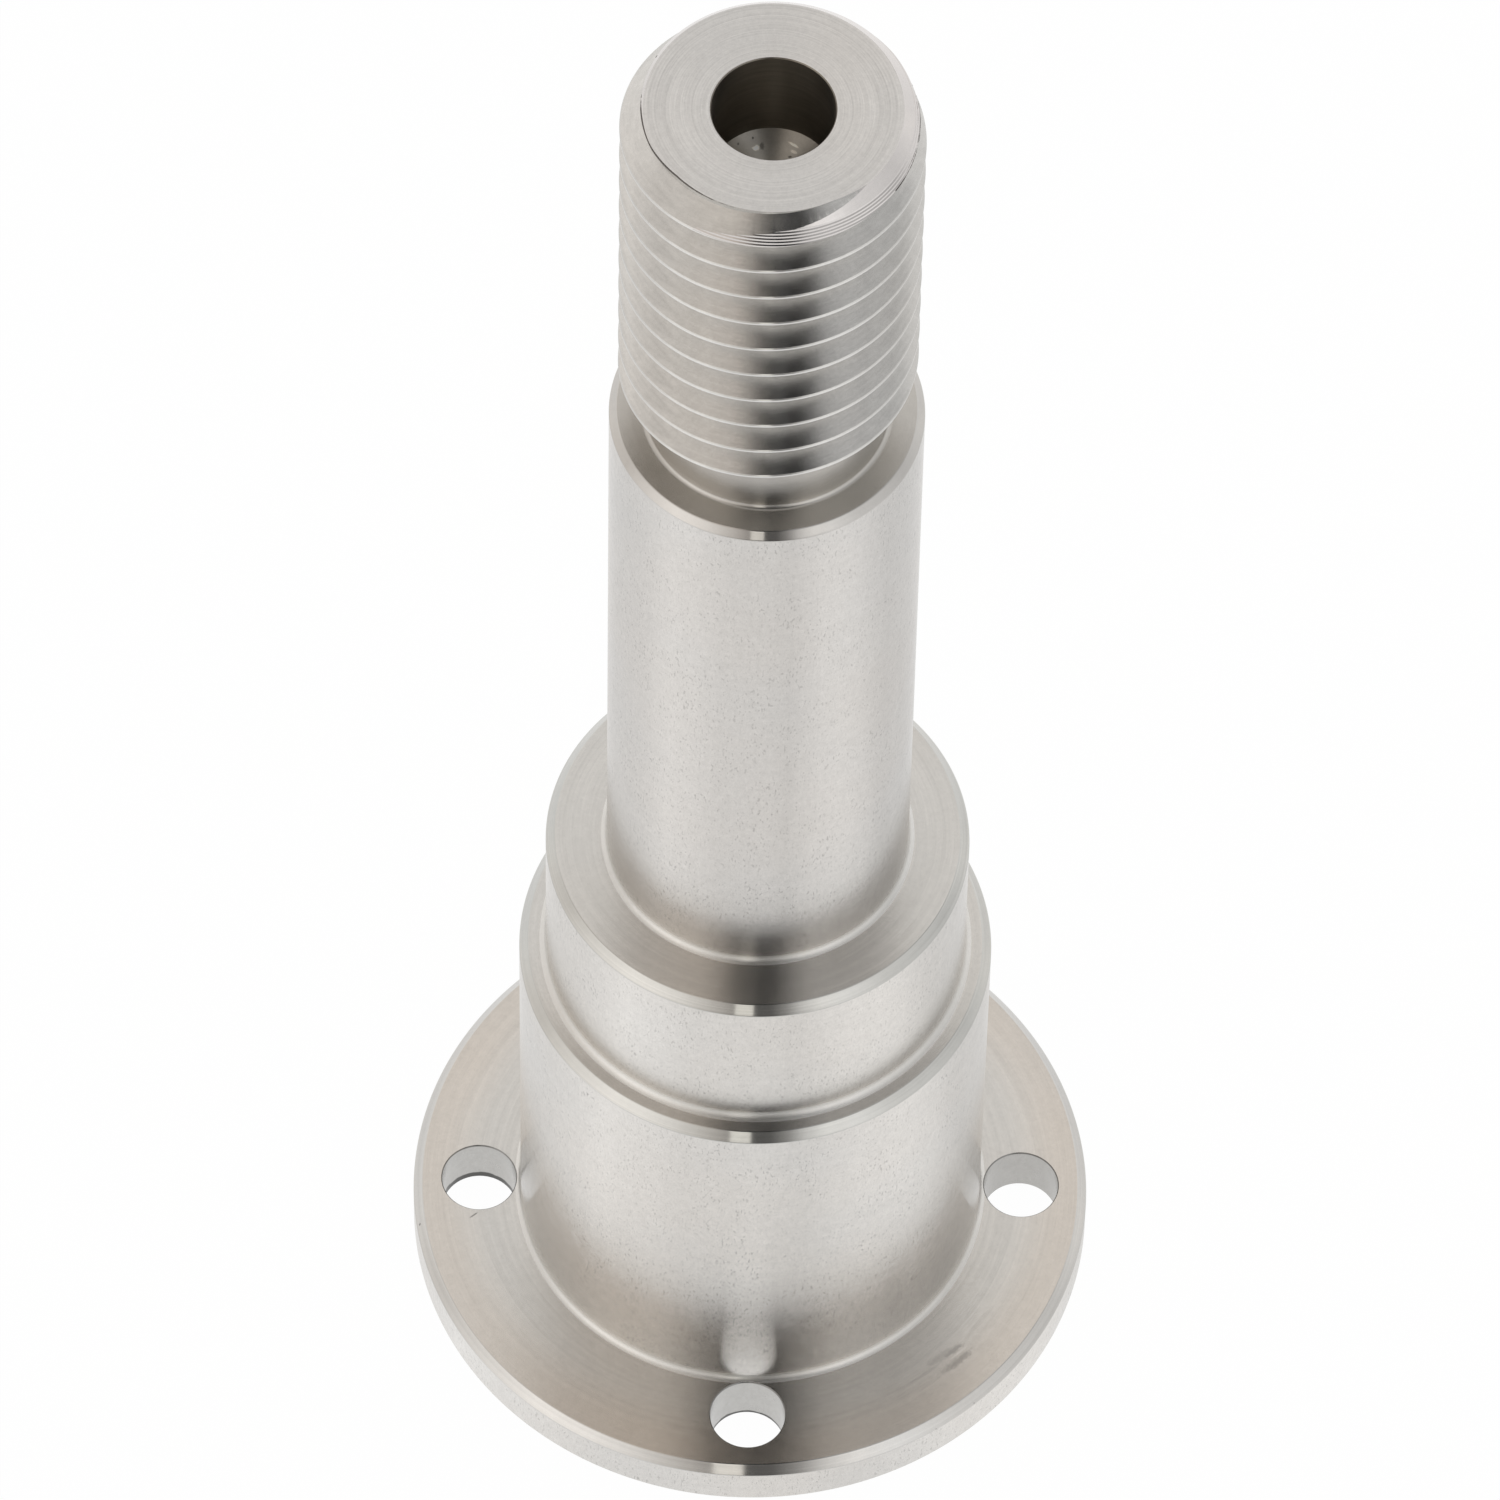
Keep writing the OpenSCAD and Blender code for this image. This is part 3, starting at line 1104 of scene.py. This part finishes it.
class Studio:
    """The pale floor, the soft light all round and the camera."""

    camera_place = (0.0, -405.21, 663.78)
    pitch, yaw, roll = 56.620, 0.041, 1.259
    swing = 0.55
    focal_pixels = 13362.0
    picture_pixels = 1500.0
    sensor_width = 36.0
    clip = (0.05, 20.0)
    floor_size = 12.0
    floor_level = -0.00006
    floor_colour = (0.98, 0.98, 0.98, 1.0)
    floor_seen = 0.985
    # A bright strip beside the camera. Its sides are bearings and its top is a height, all in degrees
    card_colour = (1.06, 1.03, 0.975, 1.0)
    card_left, card_right, card_top = (-8.7, -8.3), (-0.3, 0.1), (37.0, 40.0)
    tent_change = (38.0, 48.0)
    horizon_colour = (0.97, 0.96, 0.94, 1.0)
    horizon_top = (1.0, 7.0)
    # Each stop has its bearing in degrees, its brightness and its warmth
    floor_glow: tuple[Stop, ...] = (
        (-180, 1.05, 0.0), (-150, 0.98, 0.0), (-120, 0.87, 0.0), (-90, 0.89, 0.0),
        (-75, 0.96, 0.0), (-60, 1.04, 0.0), (-40, 0.97, 0.0), (-25, 0.90, 0.0),
        (0, 0.91, 0.0), (20, 0.87, 0.0), (40, 0.97, 0.0), (60, 1.01, 0.0),
        (74, 0.94, 0.0), (90, 0.81, 0.0), (120, 0.83, 0.0), (150, 0.97, 0.0),
        (180, 1.05, 0.0),
    )
    lower_tent: tuple[Stop, ...] = (
        (-180, 0.85, 0.0), (-150, 0.96, 0.02), (-120, 0.88, 0.03), (-95, 0.78, 0.04),
        (-72, 1.05, 0.03), (-58, 1.22, 0.03), (-45, 1.18, 0.03), (-33, 1.02, 0.03),
        (-22, 0.78, 0.04), (-14, 0.58, 0.05), (-8, 0.38, 0.05), (-2, 0.12, 0.02),
        (8, 0.14, 0.02), (15, 0.37, 0.02), (22, 0.82, 0.01), (31, 1.10, 0.01),
        (42, 1.08, 0.0), (60, 0.86, 0.0), (95, 0.72, 0.0), (120, 0.90, 0.0),
        (150, 0.96, 0.0), (180, 0.85, 0.0),
    )
    upper_tent: tuple[Stop, ...] = (
        (-180, 0.88, 0.01), (-150, 0.92, 0.02), (-120, 0.66, 0.04), (-60, 0.68, 0.07),
        (-42, 0.64, 0.08), (-30, 0.40, 0.08), (-20, 0.13, 0.07), (-12, 0.05, 0.05),
        (-5, 0.06, 0.0), (5.5, 0.06, -0.02), (6.5, 0.02, 0.0), (19, 0.02, 0.0),
        (29, 0.09, 0.0), (40, 0.42, 0.0), (50, 0.54, 0.0), (60, 0.58, 0.0),
        (108, 0.50, 0.0), (130, 0.64, 0.01), (150, 0.92, 0.01), (180, 0.88, 0.01),
    )

    def camera(self) -> None:
        """Places the camera where the photograph was taken from."""
        data = bpy.data.cameras.new("camera")
        data.sensor_width = self.sensor_width
        data.lens = self.focal_pixels / self.picture_pixels * data.sensor_width
        data.clip_start, data.clip_end = self.clip
        made = bpy.data.objects.new("camera", data)
        tilt = Matrix.Rotation(math.radians(self.pitch + 90), 3, "X")
        pan = Matrix.Rotation(math.radians(self.yaw), 3, "Y")
        lean = Matrix.Rotation(math.radians(self.roll), 3, "Z")
        right, down, ahead = lean @ pan @ tilt
        turn = Matrix((right, -down, -ahead)).transposed().to_4x4()
        round_axis = Matrix.Rotation(math.radians(-self.swing), 4, "Z")
        made.matrix_world = round_axis @ Matrix.Translation(Vector(self.camera_place) * MM) @ turn
        bpy.context.scene.collection.objects.link(made)
        bpy.context.scene.camera = made

    def floor(self) -> None:
        """Lays the white floor."""
        bpy.ops.mesh.primitive_plane_add(size=self.floor_size, location=(0, 0, self.floor_level))
        made = bpy.context.object
        made.name = "floor"
        white = bpy.data.materials.new("white_floor")
        white.use_nodes = True
        n = Nodes(white.node_tree)
        path = n.add("ShaderNodeLightPath").outputs
        seen = n.math("MAXIMUM", path["Is Glossy Ray"], path["Is Transmission Ray"])
        share = n.math("MAXIMUM", n.times(path["Is Camera Ray"], self.floor_seen), seen)
        paint = n.add("ShaderNodeBsdfDiffuse", {"Color": self.floor_colour})
        x, y, _ = n.split(n.add("ShaderNodeTexCoord").outputs["Object"])
        mirrored = self.around(n, self.bearing(n, x, y), self.floor_glow)
        shade = n.blend(path["Is Glossy Ray"], WHITE, mirrored)
        glow = n.add("ShaderNodeEmission", {"Color": shade, "Strength": 1.0})
        mixed = n.add("ShaderNodeMixShader", {0: share, 1: paint.outputs[0], 2: glow.outputs[0]})
        n.add("ShaderNodeOutputMaterial", {"Surface": mixed.outputs[0]})
        made.data.materials.append(white)

    def bearing(self, n: Nodes, x: Socket, y: Socket) -> Socket:
        """Gives the bearing of a direction, in degrees from the camera's and positive to the right."""
        return n.plus(n.math("DEGREES", n.math("ARCTAN2", x, n.times(y, -1.0))), self.swing)

    def around(self, n: Nodes, where: Socket, stops: Sequence[Stop]) -> Socket:
        """Makes the brightness of the tent all the way round at one height.

        Args:
            n: the world's nodes.
            where: the bearing, in degrees from the camera, positive to the right.
            stops: bearing, level and warmth of each stop.

        Returns:
            The colour of the light from there.
        """
        share = n.math("MULTIPLY_ADD", where, 1 / 360, 0.5)
        node = n.add("ShaderNodeValToRGB", {"Fac": share})
        scale = node.color_ramp.elements
        for number, (bearing, level, warmth) in enumerate(stops):
            place = (bearing + 180) / 360
            stop = scale[number] if number < 2 else scale.new(place)
            stop.position = place
            stop.color = (level * (1 + warmth), level, level * (1 - warmth), 1.0)
        return node.outputs["Color"]

    def light(self) -> None:
        """Lights the shaft from a white tent that is open and dark round the camera."""
        world = bpy.data.worlds.new("light_tent")
        world.use_nodes = True
        bpy.context.scene.world = world
        n = Nodes(world.node_tree)
        ray = n.add("ShaderNodeTexCoord").outputs["Generated"]
        x, y, z = n.split(ray)
        bearing = self.bearing(n, x, y)
        height = n.math("DEGREES", n.math("ARCSINE", z))
        lower = self.around(n, bearing, self.lower_tent)
        card = n.times(n.ramp(bearing, *self.card_left), n.ramp(bearing, *self.card_right, 1.0, 0.0))
        card = n.times(card, n.ramp(height, *self.card_top, 1.0, 0.0))
        lower = n.blend(card, lower, self.card_colour)
        upper = self.around(n, bearing, self.upper_tent)
        tent = n.blend(n.ramp(height, *self.tent_change), lower, upper)
        tent = n.blend(n.ramp(height, *self.horizon_top), self.horizon_colour, tent)
        seen = n.add("ShaderNodeLightPath").outputs["Is Camera Ray"]
        shade = n.blend(seen, tent, WHITE)
        glow = n.add("ShaderNodeBackground", {"Color": shade, "Strength": 1.0})
        n.add("ShaderNodeOutputWorld", {"Surface": glow.outputs[0]})
        bpy.context.scene.view_settings.view_transform = "Standard"


BOSS_MARKS = (
    Mark((-9.34, -9.47, 27.73), (-9.26, -9.55, 28.08), 0.16, 0.6),
    Mark((-2.85, -12.99, 22.4), (-2.33, -13.1, 23.72), 0.09, 0.86),
    Mark((-2.61, -13.04, 19.9), (-2.19, -13.12, 20.86), 0.09, 0.88),
    Mark((6.07, -10.12, 35.84), (7.61, -9.02, 36.8), 0.07, 0.9),
)
JOURNAL_MARKS = (
    Mark((8.02, -2.51, 73.52), (8.04, -2.45, 74.02), 0.14, 0.55),
    Mark((-4.24, -7.25, 65.1), (-4.14, -7.31, 65.6), 0.16, 0.8),
    Mark((0.81, -8.36, 73.43), (0.97, -8.34, 73.58), 0.14, 0.82),
)
FACE_MARKS = (
    Mark((10.0, -12.54, 3.4), (12.6, -10.54, 3.4), 0.6, 0.84, 0.2),
    Mark((11.2, -11.75, 3.4), (12.4, -10.79, 3.4), 0.36, 0.84, 0.3),
    Mark((10.8, -13.09, 3.4), (13.2, -10.89, 3.4), 0.62, 0.84, 0.2),
    Mark((11.4, -12.59, 3.4), (13.0, -11.1, 3.4), 0.44, 0.82, 0.3),
    Mark((11.5, -11.94, 3.4), (12.7, -10.84, 3.4), 0.16, 1.10, 0.2),
    Mark((8.8, -13.9, 3.4), (11.3, -11.9, 3.4), 0.3, 0.93, 0.2),
    Mark((9.6, -14.2, 3.4), (11.4, -12.7, 3.4), 0.26, 0.94, 0.2),
    Mark((12.2, -10.8, 3.4), (14.2, -8.0, 3.4), 0.3, 0.93, 0.2),
    Mark((-16.21, -2.77, 3.4), (-15.7, -2.36, 3.4), 0.14, 0.45, 0.2),
)
# Dark chips on the drill point, and bright spots up to twice as light as the steel around them, which are
# painted glints
CHIPS_AND_GLINTS = (
    Mark((-1.06, 2.18, 102.11), (-0.65, 2.35, 102.14), 0.34, 2.0, 0.2),
    Mark((0.78, 2.6, 102.29), (1.4, 2.21, 102.23), 0.18, 1.9, 0.2),
    Mark((0.9, 2.2, 102.09), (1.35, 1.95, 102.07), 0.2, 1.6, 0.2),
    Mark((-1.02, 2.62, 102.35), (-1.02, 2.78, 102.43), 0.14, 0.3, 0.2),
    Mark((-1.78, 2.22, 102.36), (-1.78, 2.38, 102.45), 0.14, 0.45, 0.2),
    Mark((-0.54, 2.2, 102.02), (-0.54, 2.58, 102.25), 0.28, 0.5, 0.2),
    Mark((0.78, 1.88, 101.9), (1.06, 1.88, 101.93), 0.14, 0.35, 0.2),
)
EDGE_MARKS = (
    Mark((-19.06, -2.95, 3.12), (-19.1, -3.15, 3.05), 0.16, 0.4),
    Mark((12.95, -14.53, 2.98), (13.06, -14.42, 2.98), 0.14, 0.45),
    Mark((10.76, -16.22, 2.9), (10.88, -16.15, 2.9), 0.1, 0.6),
)


def finishes() -> dict[Zone, TurnedFinish]:
    """Lists the finish of each zone.

    Returns:
        Each zone's finish.
    """
    wall = TurnedFinish(
        "turned_boss", (0.75, 0.727, 0.695), roughness=0.22, mottle_shade=0.10, mottle_scale=(3.0, 3.0, 1.6),
        dash_shade=0.24, reflection_band_shade=0.02, marks=BOSS_MARKS,
    )
    ring = TurnedFinish(
        "faced_ring", (0.648, 0.628, 0.596), roughness=0.22, ring_shade=0.09, ring_height=0.0007,
        mottle_shade=0.07,
    )
    end_face = TurnedFinish(
        "faced_end", (0.635, 0.615, 0.59), roughness=0.3, anisotropy=0.7, rings_per_mm=8.0, ring_shade=0.18,
        ring_height=0.001, mottle_shade=0.11, mottle_scale=(3.6, 3.6, 3.6),
    )
    chamfer = TurnedFinish("journal_chamfer", (0.60, 0.578, 0.55), roughness=0.13, ring_height=0.0)
    lined = replace(
        chamfer, name="boss_chamfer", colour=(0.614, 0.607, 0.58), rings_per_mm=5.0, ring_shade=0.12
    )
    journal = replace(wall, name="turned_journal", colour=(0.692, 0.669, 0.641), marks=JOURNAL_MARKS)
    flange = replace(ring, name="faced_flange", rim_tint=(1.02, 0.975, 0.935), marks=FACE_MARKS)
    rim = replace(lined, name="flange_chamfer", colour=STEEL, ring_shade=0.09, marks=EDGE_MARKS)
    tip = replace(chamfer, name="tip_chamfer", colour=(0.725, 0.69, 0.668), roughness=0.12)
    thread = TurnedFinish(
        "thread_flank", roughness=0.2, helix_pitch=ThreadedEnd.pitch, streak_shade=0.08, mottle_shade=0.08
    )
    # Painted shade: the bore's colour is far darker than the steel, for the shade deep inside the hole
    bore = TurnedFinish(
        "drilled_bore", (0.24, 0.217, 0.185), roughness=0.3, rings_per_mm=4.0, ring_shade=0.2
    )
    cone = TurnedFinish(
        "drill_point", (0.56, 0.53, 0.48), roughness=0.36, mottle_shade=0.12, marks=CHIPS_AND_GLINTS
    )
    # The screw holes' walls carry painted shadow lines at their foot and just below their mouth
    screw_hole = TurnedFinish(
        "screw_hole", (0.545, 0.535, 0.515), anisotropy=0.0, mottle_shade=0.08, foot_shadow_line=0.26,
        mouth_shadow_line=Flange.thickness,
    )
    return {
        Zone.WALL: wall,
        Zone.JOURNAL: journal,
        Zone.RING: ring,
        Zone.FLANGE_FACE: flange,
        Zone.FLANGE_CHAMFER: rim,
        Zone.BOSS_CHAMFER: lined,
        Zone.JOURNAL_CHAMFER: chamfer,
        Zone.TIP_CHAMFER: tip,
        Zone.END_FACE: end_face,
        Zone.THREAD: thread,
        # Painted highlight: the crests get a lighter colour than the flanks' steel, so the line along each
        # crest reads brighter
        Zone.CREST: TurnedFinish("thread_crest", (0.76, 0.745, 0.72), roughness=0.25),
        Zone.BORE: bore,
        Zone.DRILL_POINT: cone,
        Zone.SCREW_HOLE: screw_hole,
        Zone.NECK: TurnedFinish("relief_groove", (0.565, 0.541, 0.505), roughness=0.22, ring_shade=0.05),
        Zone.UNDERSIDE: TurnedFinish("faced_underside", roughness=0.3, ring_shade=0.05),
        # Painted highlight: the fillets get a lighter colour than the walls, for the bright band along each
        # foot
        Zone.FILLET: TurnedFinish("step_fillet", (0.80, 0.785, 0.755), roughness=0.34, ring_shade=0.05),
    }


def main() -> None:
    """Builds the shaft, the studio and the camera."""
    logging.basicConfig(level=logging.INFO, format="%(name)s: %(message)s")
    studio = Studio()
    studio.camera()
    studio.floor()
    studio.light()
    shaft = PivotShaft(finishes=finishes())
    piece = shaft.build()
    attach(piece, "root")
    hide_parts(NODE)
    # Painted shadow: the burr is nearly black, standing in for the dark gap under it
    burr_shadow_finish = TurnedFinish("burr_edge", (0.15, 0.137, 0.128), roughness=0.5, anisotropy=0.0)
    burr = TipBurrAndShadow(shaft.thread).build(burr_shadow_finish.material())
    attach(burr, "root")
    LOG.info("piece %s: %d faces", burr.name, len(burr.data.polygons))
    LOG.info("piece %s stands for %s", piece.name, NODE)


if __name__ == "__main__":
    main()
